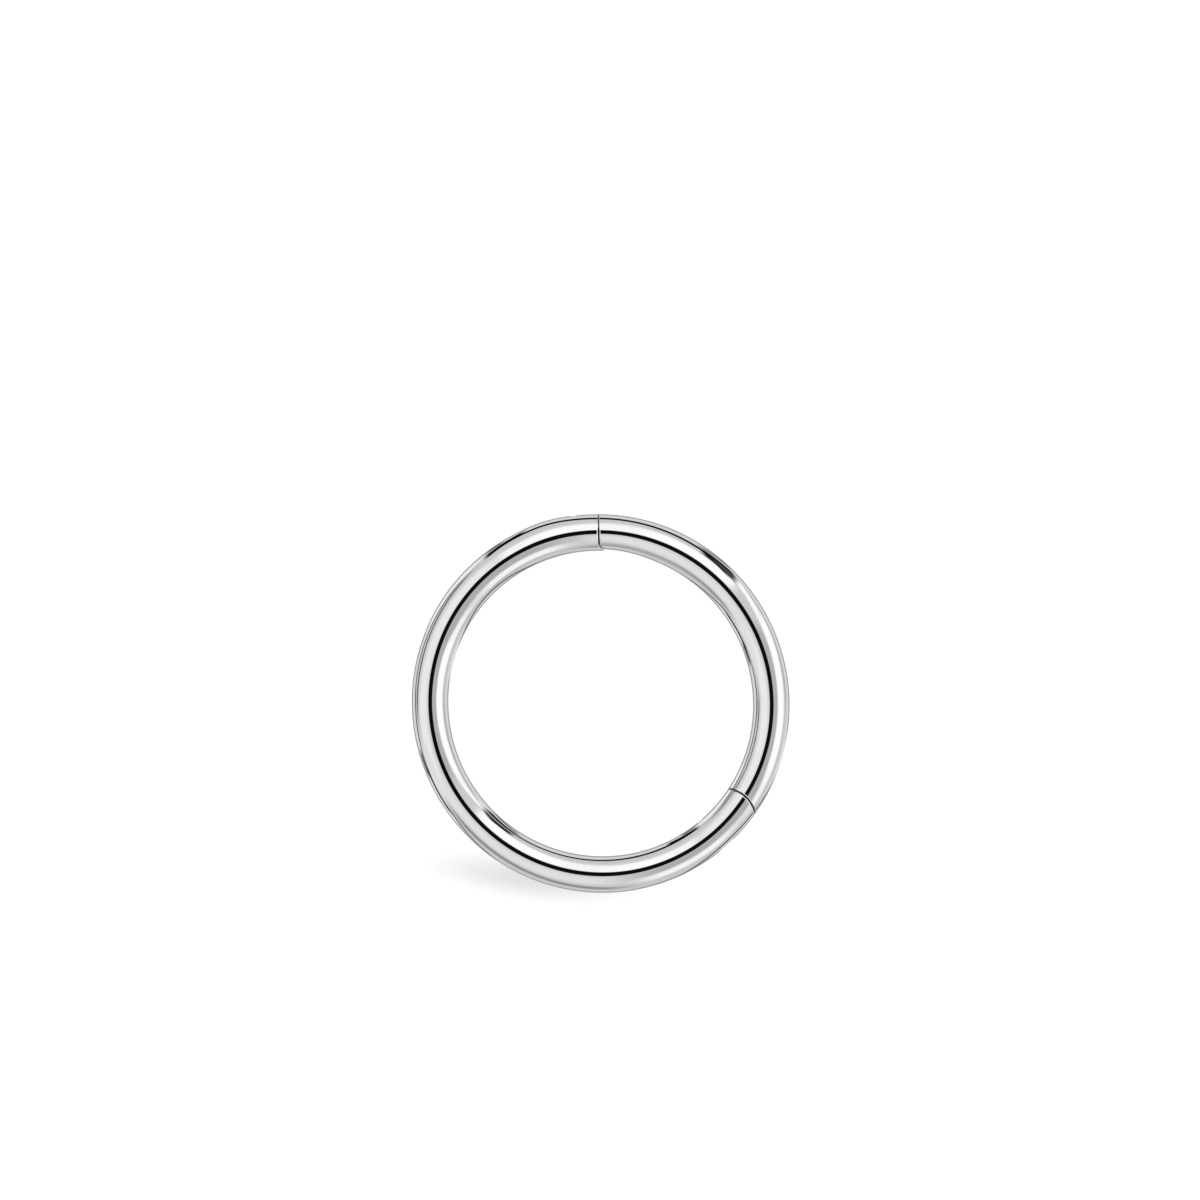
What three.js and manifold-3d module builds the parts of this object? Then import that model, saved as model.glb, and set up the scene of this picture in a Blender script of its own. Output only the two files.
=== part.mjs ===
// A hinged segment hoop earring in round wire, lying on its side.
//
// The hoop is a long fixed arc closed by a shorter hinged segment. At the hinge the arc's end is a fork with two
// rounded cheeks, and the segment's tongue turns between them on a pin. At the clasp the segment's tip seats on a thin
// lip, and a tab on it lies in a slot in the arc's other end. The segment swings outwards in the plane of the hoop.
//
// Units are millimetres and degrees. The hoop's axis is Z, the surface it lies on is z = 0, and angles run
// anticlockwise from +X as seen from above. The clasp seam is at the +Y side.
import * as THREE from "three";
import { mergeVertices } from "three/addons/utils/BufferGeometryUtils.js";
import Module from "manifold-3d";

const wasm = await Module();
wasm.setup();

// ---- driving dimensions ----
const WIRE_DIAMETER = 1.2;
const INNER_DIAMETER = 10;
const SEAM_GAP = 0.05;

const CLASP_ANGLE = 90.7;
const HINGE_ANGLE = -43.3;
const HINGE_INSET = 0.05; // the pin's centre lies this far inside the wire's centreline
const KNUCKLE_RADIUS = 1.03; // the rounded seam between the fork's cheeks and the segment's shoulders

const TONGUE_THICKNESS = 0.3; // the hinge tongue and the clasp tab are one gauge
const SLOT_CLEARANCE = 0.02; // on each flat side of the tongue and of the tab
const TONGUE_END_RADIUS = 0.7;
const TONGUE_ROOT = 0.3; // how far the tongue is carried into the segment past the knuckle
const HINGE_SLOT_BACK = 0.74; // from the pin's centre to the slot's back wall

const TAB_LENGTH = 0.75;
const TAB_ROOT = 0.3; // how far the tab is carried back into the segment
const TAB_END_GAP = 0.06;
const TAB_FLOOR = 0.2; // the wall left between the clasp slot and the inside of the hoop
const TAB_CORNER_RADIUS = 0.16;

const TIP_CORNER_RADIUS = 0.16; // the rounded inner corner of the segment's tip
const TIP_RELIEF_DEPTH = 0.05; // how far the inside of the tip is thinned
const TIP_RELIEF_SPAN = 22; // degrees over which the thinning fades out
const LIP_EDGE = 0.03; // the thickness of the lip's blunt edge

const PIN_DIAMETER = 0.4;
const PIN_PRESS_GAP = 0.015;
const PIN_TURN_GAP = 0.03;
const PIN_BLIND_DEPTH = 0.2; // how far the pin reaches into the upper cheek

// ---- fineness of the facets ----
const WIRE_SIDES = 24;
const HOOP_STEPS = 120;
const ROUND_SIDES = 24; // pin and pin holes
const KNUCKLE_SIDES = 96;
const CORNER_STEPS = 8;

// ---- worked out ----
const wireRadius = WIRE_DIAMETER / 2;
const innerRadius = INNER_DIAMETER / 2;
const hoopRadius = innerRadius + wireRadius; // the wire's centreline
const outerRadius = hoopRadius + wireRadius;
const slotWidth = TONGUE_THICKNESS + 2 * SLOT_CLEARANCE;
const tabFloorRadius = innerRadius + TAB_FLOOR;
const pinRadius = PIN_DIAMETER / 2;
const hingeRadius = hoopRadius - HINGE_INSET;
const tipRoundTop = innerRadius + TIP_RELIEF_DEPTH + TIP_CORNER_RADIUS;
const halfSeamAngle = THREE.MathUtils.radToDeg(SEAM_GAP / 2 / hoopRadius);
const reach = outerRadius + 1; // cutters run past the wire on every side
const tall = 2 * wireRadius + 1;

/** The point of the XY plane at a radius and an angle in degrees. */
function polar(radius, degrees) {
  const a = THREE.MathUtils.degToRad(degrees);
  return new THREE.Vector2(radius * Math.cos(a), radius * Math.sin(a));
}

const hingeCentre = polar(hingeRadius, HINGE_ANGLE);

/** Turns a length along the wire's centreline into degrees round the hoop. */
function alongWire(length) {
  return THREE.MathUtils.radToDeg(length / hoopRadius);
}

/** A closed three.js geometry as a manifold-3d solid. */
function solid(geometry) {
  geometry.deleteAttribute("normal");
  geometry.deleteAttribute("uv");
  const merged = mergeVertices(geometry, 1e-5);
  return new wasm.Manifold(
    new wasm.Mesh({
      numProp: 3,
      vertProperties: merged.getAttribute("position").array,
      triVerts: new Uint32Array(merged.index.array),
    }),
  );
}

/** A manifold-3d solid as a three.js geometry. */
function geometryOf(body) {
  const { vertProperties, triVerts } = body.getMesh();
  const geometry = new THREE.BufferGeometry();
  geometry.setAttribute("position", new THREE.BufferAttribute(new Float32Array(vertProperties), 3));
  geometry.setIndex(new THREE.BufferAttribute(new Uint32Array(triVerts), 1));
  geometry.computeVertexNormals();
  return geometry;
}

/** The whole ring of round wire, centred on the origin. Its flats touch the true circle, so its sizes are exact. */
function ringSolid() {
  const cornerRadius = wireRadius / Math.cos(Math.PI / WIRE_SIDES);
  const profile = [];
  for (let i = 0; i <= WIRE_SIDES; i++) {
    const a = (2 * Math.PI * ((i % WIRE_SIDES) + 0.5)) / WIRE_SIDES;
    profile.push(new THREE.Vector2(hoopRadius + cornerRadius * Math.cos(a), cornerRadius * Math.sin(a)));
  }
  return solid(new THREE.LatheGeometry(profile, HOOP_STEPS).rotateX(Math.PI / 2));
}

/** A flat outline in the XY plane as a plate of the given thickness, centred on z = 0. */
function plate(shape, thickness) {
  const geometry = new THREE.ExtrudeGeometry(shape, {
    depth: thickness,
    bevelEnabled: false,
    curveSegments: CORNER_STEPS,
  });
  return solid(geometry.translate(0, 0, -thickness / 2));
}

/** A wedge from the hoop's axis outwards, between two angles, as a plate of the given thickness. */
function wedge(from, to, thickness) {
  const shape = new THREE.Shape();
  const steps = Math.ceil((to - from) / 30); // straight outer edges, far enough out to clear the wire
  shape.moveTo(0, 0);
  for (let i = 0; i <= steps; i++) {
    const corner = polar(1.2 * reach, from + ((to - from) * i) / steps);
    shape.lineTo(corner.x, corner.y);
  }
  return plate(shape, thickness);
}

/** A round bar along Z between two heights. */
function bar(centre, radius, from, to, sides) {
  const geometry = new THREE.CylinderGeometry(radius, radius, to - from, sides);
  return solid(geometry.rotateX(Math.PI / 2).translate(centre.x, centre.y, (from + to) / 2));
}

/** A bar round the hinge's axis, as tall as a cutter. */
function hingeBar(radius, sides = KNUCKLE_SIDES, height = tall) {
  return bar(hingeCentre, radius, -height / 2, height / 2, sides);
}

/** The hinge pin's hole or the pin itself: open below the wire, blind in the upper cheek. */
function pinBar(radius, endGap) {
  return bar(hingeCentre, radius, -tall / 2, slotWidth / 2 + PIN_BLIND_DEPTH + endGap, ROUND_SIDES);
}

/** The clasp tab's outline: it starts inside the segment, and its far end has two rounded corners. */
function tabShape() {
  const start = CLASP_ANGLE - halfSeamAngle - alongWire(TAB_ROOT);
  const end = CLASP_ANGLE + halfSeamAngle + alongWire(TAB_LENGTH);
  const turn = end - alongWire(TAB_CORNER_RADIUS);
  const inner = tabFloorRadius + SLOT_CLEARANCE;
  const innerCorner = polar(inner, end);
  const afterInner = polar(inner + TAB_CORNER_RADIUS, end);
  const beforeOuter = polar(outerRadius - TAB_CORNER_RADIUS, end);
  const outerCorner = polar(outerRadius, end);
  const afterOuter = polar(outerRadius, turn);
  const over = polar(reach, turn);
  const root = polar(reach, start);
  const shape = new THREE.Shape();
  shape.absarc(0, 0, inner, THREE.MathUtils.degToRad(start), THREE.MathUtils.degToRad(turn), false);
  shape.quadraticCurveTo(innerCorner.x, innerCorner.y, afterInner.x, afterInner.y);
  shape.lineTo(beforeOuter.x, beforeOuter.y);
  shape.quadraticCurveTo(outerCorner.x, outerCorner.y, afterOuter.x, afterOuter.y);
  shape.lineTo(over.x, over.y);
  shape.lineTo(root.x, root.y);
  shape.closePath();
  return shape;
}

/** A point near the clasp: so far back from the seam's middle towards the segment, so far out from the axis. */
function nearClasp(back, out) {
  const axis = polar(1, CLASP_ANGLE);
  return new THREE.Vector2(axis.x * out + axis.y * back, axis.y * out - axis.x * back);
}

/** A quarter round about the centre of the tip's corner, or its first part: from facing the clasp to facing inwards. */
function tipRound(radius, sweep = Math.PI / 2) {
  const back = SEAM_GAP / 2 + TIP_CORNER_RADIUS;
  const points = [];
  for (let i = 0; i <= CORNER_STEPS; i++) {
    const a = (sweep * i) / CORNER_STEPS;
    points.push(nearClasp(back - radius * Math.cos(a), tipRoundTop - radius * Math.sin(a)));
  }
  return points;
}

/** What the round takes off the segment's tip: its square inner corner. */
function tipCornerShape() {
  const below = innerRadius - 1;
  return new THREE.Shape([
    ...tipRound(TIP_CORNER_RADIUS),
    nearClasp(SEAM_GAP / 2 + TIP_CORNER_RADIUS, below),
    nearClasp(-1, below),
    nearClasp(-1, tipRoundTop),
  ]);
}

/** The lip on the arc's end: it follows the tip's round a seam's gap away, as far as its blunt edge. */
function lipShape() {
  const radius = TIP_CORNER_RADIUS + SEAM_GAP;
  const sweep = Math.asin((tipRoundTop - innerRadius - LIP_EDGE) / radius);
  const edgeBack = SEAM_GAP / 2 + TIP_CORNER_RADIUS - radius * Math.cos(sweep);
  const below = innerRadius - 1;
  return new THREE.Shape([
    ...tipRound(radius, sweep),
    nearClasp(edgeBack, below),
    nearClasp(-TIP_CORNER_RADIUS, below),
    nearClasp(-TIP_CORNER_RADIUS, tipRoundTop),
  ]);
}

/** The off-centre round bar that thins the inside of the segment's tip. */
function tipReliefBar() {
  const shift = TIP_RELIEF_DEPTH / (1 - Math.cos(THREE.MathUtils.degToRad(TIP_RELIEF_SPAN)));
  const radius = innerRadius + TIP_RELIEF_DEPTH - shift;
  return bar(polar(shift, CLASP_ANGLE), radius, -tall / 2, tall / 2, 2 * HOOP_STEPS);
}

/** The long fixed arc, with the hinge fork at one end and the clasp slot at the other. */
function hoopArc() {
  const opening = wedge(HINGE_ANGLE, CLASP_ANGLE + halfSeamAngle, tall).subtract(
    hingeBar(KNUCKLE_RADIUS - SEAM_GAP / 2),
  );
  const hingeSlot = wedge(HINGE_ANGLE - alongWire(HINGE_SLOT_BACK), HINGE_ANGLE + 20, slotWidth);
  const claspSlotEnd = CLASP_ANGLE + halfSeamAngle + alongWire(TAB_LENGTH + TAB_END_GAP);
  const floor = bar(new THREE.Vector2(), tabFloorRadius, -tall / 2, tall / 2, 2 * HOOP_STEPS);
  const claspSlot = wedge(CLASP_ANGLE - 5, claspSlotEnd, slotWidth).subtract(floor);
  return ringSolid()
    .subtract(opening)
    .add(ringSolid().intersect(plate(lipShape(), tall)))
    .subtract(hingeSlot)
    .subtract(claspSlot)
    .subtract(pinBar(pinRadius + PIN_PRESS_GAP, SLOT_CLEARANCE));
}

/** The hinged segment, with the hinge tongue at one end and the clasp tab at the other. */
function hingedSegment() {
  const body = ringSolid()
    .intersect(wedge(HINGE_ANGLE, CLASP_ANGLE - halfSeamAngle, tall))
    .subtract(hingeBar(KNUCKLE_RADIUS + SEAM_GAP / 2))
    .subtract(tipReliefBar())
    .subtract(plate(tipCornerShape(), tall));
  const tongueReach = alongWire(KNUCKLE_RADIUS + TONGUE_ROOT);
  const tongue = ringSolid().intersect(
    wedge(HINGE_ANGLE, HINGE_ANGLE + tongueReach, TONGUE_THICKNESS).add(
      hingeBar(TONGUE_END_RADIUS, KNUCKLE_SIDES, TONGUE_THICKNESS),
    ),
  );
  const tab = ringSolid().intersect(plate(tabShape(), TONGUE_THICKNESS));
  return body.add(tongue).add(tab).subtract(hingeBar(pinRadius + PIN_TURN_GAP, ROUND_SIDES));
}

/** The hinge pin, its lower end dressed flush with the wire. */
function hingePin() {
  return ringSolid().intersect(pinBar(pinRadius, 0));
}

const polishedMetal = { color: 0xe9e9ea, roughness: 0.08, metalness: 1 };
const parts = [
  ["hoop_arc", hoopArc(), polishedMetal],
  ["hinged_segment", hingedSegment(), polishedMetal],
  ["hinge_pin", hingePin(), { ...polishedMetal, roughness: 0.2 }],
];

const hoop = new THREE.Group();
hoop.position.z = wireRadius; // the hoop rests on z = 0
for (const [name, body, look] of parts) {
  const mesh = new THREE.Mesh(geometryOf(body), new THREE.MeshStandardMaterial(look));
  mesh.name = name;
  hoop.add(mesh);
}

export default hoop;
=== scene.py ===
"""A hinged hoop earring in polished silver, lying on its side on a pale table in soft studio light.

The hoop is three pieces: the long fixed arc with its hinge fork and clasp slot, the shorter segment that
swings out, and the hinge's flush pin. Each is grown by geometry nodes from the wire's gauge, the hoop's
size and the places of the two seams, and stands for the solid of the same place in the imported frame.
"""
import logging
import math
from collections.abc import Callable
from dataclasses import dataclass
from enum import Enum
from typing import TypeAlias

import bpy
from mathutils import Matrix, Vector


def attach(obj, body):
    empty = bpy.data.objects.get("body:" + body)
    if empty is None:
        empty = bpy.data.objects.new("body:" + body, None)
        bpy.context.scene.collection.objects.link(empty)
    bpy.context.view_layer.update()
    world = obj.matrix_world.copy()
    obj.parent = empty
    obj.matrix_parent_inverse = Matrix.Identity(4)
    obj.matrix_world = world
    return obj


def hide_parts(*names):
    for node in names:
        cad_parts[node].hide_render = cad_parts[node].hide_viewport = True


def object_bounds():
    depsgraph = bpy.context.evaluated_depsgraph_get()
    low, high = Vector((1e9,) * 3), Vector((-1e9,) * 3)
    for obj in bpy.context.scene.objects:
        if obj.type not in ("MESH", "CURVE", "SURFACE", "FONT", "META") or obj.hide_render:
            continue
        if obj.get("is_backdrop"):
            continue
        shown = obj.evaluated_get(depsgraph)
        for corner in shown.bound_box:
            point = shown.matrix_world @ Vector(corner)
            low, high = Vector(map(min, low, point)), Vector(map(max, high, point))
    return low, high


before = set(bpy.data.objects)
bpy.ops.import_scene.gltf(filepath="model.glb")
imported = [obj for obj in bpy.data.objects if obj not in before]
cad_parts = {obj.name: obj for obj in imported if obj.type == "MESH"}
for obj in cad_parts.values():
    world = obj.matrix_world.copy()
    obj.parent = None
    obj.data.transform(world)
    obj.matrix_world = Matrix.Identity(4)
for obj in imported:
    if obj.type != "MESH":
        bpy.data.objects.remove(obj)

LOG = logging.getLogger("hinged_hoop")
MM = 0.001  # every size below is written in millimetres times MM
WHITE = (1.0, 1.0, 1.0, 1.0)

Mesh: TypeAlias = bpy.types.Mesh
Piece: TypeAlias = bpy.types.Object
Socket: TypeAlias = bpy.types.NodeSocket
Value: TypeAlias = "Number | float"


class Body(Enum):
    """The bodies of the frame that the pieces ride on."""

    HOOP = "hoop"
    SEGMENT = "segment"


class Slot(Enum):
    """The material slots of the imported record."""

    POLISHED = "polished_metal"
    PIN = "pin_metal"


# ---- node trees, written as formulas ----


class Number:
    """One number flowing through a node tree. Arithmetic on it adds Math nodes."""

    def __init__(self, wiring: "Wiring", socket: Socket) -> None:
        """Keeps the tree's wiring and the socket that the number comes out of."""
        self.wiring = wiring
        self.socket = socket

    def __add__(self, other: Value) -> "Number":
        """This number plus another."""
        return self.wiring.math("ADD", self, other)

    def __sub__(self, other: Value) -> "Number":
        """This number less another."""
        return self.wiring.math("SUBTRACT", self, other)

    def __rsub__(self, other: float) -> "Number":
        """Another number less this one."""
        return self.wiring.math("SUBTRACT", other, self)

    def __mul__(self, other: Value) -> "Number":
        """This number times another."""
        return self.wiring.math("MULTIPLY", self, other)

    def __truediv__(self, other: Value) -> "Number":
        """This number over another."""
        return self.wiring.math("DIVIDE", self, other)

    def sin(self) -> "Number":
        """The sine of this angle in radians."""
        return self.wiring.math("SINE", self)

    def cos(self) -> "Number":
        """The cosine of this angle in radians."""
        return self.wiring.math("COSINE", self)

    def root(self) -> "Number":
        """The square root."""
        return self.wiring.math("SQRT", self)

    def clamped(self, low: Value, high: Value) -> "Number":
        """This number, kept between two others."""
        return self.wiring.math("MINIMUM", self.wiring.math("MAXIMUM", self, low), high)

    def above(self, limit: Value) -> "Number":
        """1 where this number is above the limit, else 0."""
        return self.wiring.math("GREATER_THAN", self, limit)

    def eased(self, low: Value, high: Value) -> "Number":
        """A smooth step.

        Args:
            low: Where it leaves 0.
            high: Where it reaches 1.

        Returns:
            The step, from 0 to 1.
        """
        inputs = {"Value": self, "From Min": low, "From Max": high}
        made = self.wiring.node("ShaderNodeMapRange", inputs, interpolation_type="SMOOTHSTEP")
        return Number(self.wiring, made.outputs["Result"])


class Wiring:
    """Adds nodes to one node tree and links them."""

    def __init__(self, tree: bpy.types.NodeTree) -> None:
        """Keeps the tree."""
        self.tree = tree
        self.entry: bpy.types.Node | None = None

    def feed(self, socket: Socket, value: object) -> None:
        """Links a socket or a Number to an input, or sets the input's own value.

        Args:
            socket: The input to feed.
            value: A Number, an output socket, or a plain value.
        """
        if isinstance(value, Number):
            value = value.socket
        if isinstance(value, bpy.types.NodeSocket):
            self.tree.links.new(value, socket)
        else:
            socket.default_value = value

    def node(
        self, kind: str, inputs: dict[str | int, object] | None = None, **settings: object
    ) -> bpy.types.Node:
        """Adds one node.

        Args:
            kind: The node's type name.
            inputs: What feeds its inputs, by name or place.
            **settings: The node's own properties.

        Returns:
            The node.
        """
        made = self.tree.nodes.new(kind)
        for name, value in settings.items():
            setattr(made, name, value)
        for name, value in (inputs or {}).items():
            self.feed(made.inputs[name], value)
        return made

    def math(self, operation: str, *values: Value) -> Number:
        """Adds one Math node, whose inputs are given in order."""
        made = self.node("ShaderNodeMath", dict(enumerate(values)), operation=operation)
        return Number(self, made.outputs[0])

    def blend(self, start: Value, end: Value, share: Number) -> Number:
        """A straight blend between two numbers.

        Args:
            start: The number where share is 0.
            end: The number where share is 1.
            share: From 0 to 1.

        Returns:
            The blend.
        """
        return self.math("MULTIPLY_ADD", share, self.math("SUBTRACT", end, start), start)

    def parts(self, vector: Socket) -> list[Number]:
        """Splits a vector into its three numbers."""
        return [Number(self, s) for s in self.node("ShaderNodeSeparateXYZ", {0: vector}).outputs]

    def vector(self, x: Value, y: Value, z: Value) -> Socket:
        """Joins three numbers into a vector."""
        return self.node("ShaderNodeCombineXYZ", {0: x, 1: y, 2: z}).outputs[0]

    def placed(self, geometry: Socket, place: Socket) -> Socket:
        """Moves a geometry's points to the places that a vector gives them."""
        return self.node("GeometryNodeSetPosition", {"Geometry": geometry, "Position": place}).outputs[0]

    def given(self, name: str, value: float = 0.0, kind: str = "NodeSocketFloat") -> Number:
        """Adds a named input to a group.

        Args:
            name: The input's name.
            value: Its value unless the user of the group sets another.
            kind: The socket's type.

        Returns:
            The input inside the group.
        """
        socket = self.tree.interface.new_socket(name, in_out="INPUT", socket_type=kind)
        socket.default_value = value
        if self.entry is None:
            self.entry = self.tree.nodes.new("NodeGroupInput")
        return Number(self, self.entry.outputs[name])

    def gives(self, **results: object) -> None:
        """Adds named outputs to a group and feeds them.

        Args:
            **results: The sockets, by output name. A name's underscores become spaces.
        """
        kinds = {"VALUE": "NodeSocketFloat", "RGBA": "NodeSocketColor", "GEOMETRY": "NodeSocketGeometry"}
        exit_node = self.tree.nodes.new("NodeGroupOutput")
        for name, value in results.items():
            source = value.socket if isinstance(value, Number) else value
            title = name.replace("_", " ")
            self.tree.interface.new_socket(title, in_out="OUTPUT", socket_type=kinds[source.type])
            self.tree.links.new(source, exit_node.inputs[title])


# ---- the wire and its seams ----


@dataclass(frozen=True)
class Wire:
    """The round wire and the circle it is bent to."""

    gauge: float = 1.2 * MM
    inside: float = 10 * MM
    rounding: float = 0.052 * MM  # of the edges at the seams, along the wire
    edge_tilt: float = math.radians(22)  # how steeply the broken edges start
    sides: int = 96
    ovality: float = 0.03 * MM  # the hoop is bent by hand, a touch out of round
    oval_angle: float = math.radians(135)
    narrowing: float = 0.006 * MM  # and a touch narrower across than along
    swell: float = 0.034 * MM  # the arc is left a touch thick just past the clasp
    swell_angle: float = math.radians(107)
    swell_reach: float = math.radians(9)

    @property
    def radius(self) -> float:
        """The wire's own radius."""
        return self.gauge / 2

    @property
    def hoop(self) -> float:
        """The radius of the wire's centreline."""
        return self.inside / 2 + self.radius


@dataclass(frozen=True)
class Clasp:
    """The seam where the segment's rounded tip seats on the arc's thin lip, and the tab in its slot."""

    angle: float = math.radians(90.7)
    gap: float = 0.012 * MM
    corner: float = 0.16 * MM  # the round of the segment's tip
    relief: float = 0.05 * MM  # how much the segment's inner side is thinned by its tip
    relief_reach: float = math.radians(24)
    lip_edge: float = 0.03 * MM
    lip_rounding: float = 0.2  # the share of the edge rounding that the thin lip keeps
    outer_rounding: float = 0.5  # and the share kept where the seam is dressed flush on the hoop's outside
    tab_length: float = 0.75 * MM
    tab_root: float = 0.3 * MM
    tab_end_gap: float = 0.06 * MM
    tab_corner: float = 0.16 * MM
    floor: float = 0.2 * MM  # of wire left under the slot, on the hoop's inside


@dataclass(frozen=True)
class Hinge:
    """The rounded seam round the hinge pin, and the tongue between the fork's cheeks."""

    angle: float = math.radians(-43.3)
    inset: float = 0.0725 * MM  # 0.05 on the bent wire: the bend carries the pin 0.0225 outwards
    knuckle: float = 1.03 * MM  # the radius of the seam round the pin
    gap: float = 0.012 * MM
    tongue: float = 0.3 * MM
    clearance: float = 0.02 * MM  # on each side of the tongue and the tab
    tongue_end: float = 0.7 * MM
    tongue_root: float = 0.3 * MM
    slot_back: float = 0.74 * MM
    pin_radius: float = 0.2 * MM
    press_gap: float = 0.015 * MM
    turn_gap: float = 0.03 * MM
    pin_depth: float = 0.2 * MM
    sides: int = 64

    @property
    def slot(self) -> float:
        """The width of the slots that the tongue and the tab lie in."""
        return self.tongue + 2 * self.clearance


class Shapes:
    """Geometry node groups that the pieces share, each built once."""

    block_inputs = ("Inner Radius", "Outer Radius", "From", "To", "Thickness", "Corner")
    hand_inputs = ("Ovality", "Oval Angle", "Narrowing", "Swell", "Swell Angle", "Swell Reach")
    block_grid = {"Vertices X": 49, "Vertices Y": 33, "Vertices Z": 2}
    drawn_in = 1.25  # times the narrowing, all round, so that the bent wire stays within its gauge's box

    def __init__(self) -> None:
        """Builds the groups."""
        self.sector = self._sector()
        self.bent = self._bent()

    @staticmethod
    def group(name: str) -> Wiring:
        """Starts an empty geometry group."""
        return Wiring(bpy.data.node_groups.new(name, "GeometryNodeTree"))

    def _sector(self) -> bpy.types.NodeTree:
        """A flat block between two radii and two angles, its far end's corners rounded.

        Returns:
            The group.
        """
        w = self.group("sector_block")
        inner, outer, start, end, thickness, corner = (w.given(name) for name in self.block_inputs)
        block = w.node("GeometryNodeMeshCube", self.block_grid)
        x, y, z = w.parts(w.node("GeometryNodeInputPosition").outputs[0])
        share = (x + 0.5).clamped(0, 1)
        radius = w.blend(inner, outer, share)
        to_wall = w.math("MINIMUM", radius - inner, outer - radius)
        into = (corner - to_wall).clamped(0, corner)
        pulled = corner - (corner * corner - into * into).clamped(0, 1).root()
        angle = w.blend(start, end - pulled / radius, y + 0.5)
        place = w.vector(radius * angle.cos(), radius * angle.sin(), z * thickness)
        w.gives(Geometry=w.placed(block.outputs["Mesh"], place))
        return w.tree

    def _bent(self) -> bpy.types.NodeTree:
        """The last touch of the hand: the hoop a little out of round, and the arc's end a little thick.

        Returns:
            The group.
        """
        w = self.group("hand_bent")
        w.tree.interface.new_socket("Geometry", in_out="INPUT", socket_type="NodeSocketGeometry")
        w.entry = w.tree.nodes.new("NodeGroupInput")
        lift, hoop = w.given("Lift"), w.given("Hoop Radius")
        ovality, oval_angle, narrowing, swell, swell_angle, reach = (w.given(n) for n in self.hand_inputs)
        x, y, z = w.parts(w.node("GeometryNodeInputPosition").outputs[0])
        radius = (x * x + y * y).root()
        angle = w.math("ARCTAN2", y, x)
        oval = ovality * ((angle - oval_angle) * 2.0).cos()
        narrow = narrowing * ((angle * 2.0).cos() + self.drawn_in)
        away = w.math("WRAP", angle - swell_angle, math.pi, -math.pi) / reach
        bell = w.math("EXPONENT", away * away * -1.0)
        outer = ((radius - hoop) / lift).clamped(0, 1)
        grown = (radius + (oval - narrow) + swell * bell * outer) / radius
        place = w.vector(x * grown, y * grown, z + lift)
        w.gives(Geometry=w.placed(w.entry.outputs["Geometry"], place))
        return w.tree


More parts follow.
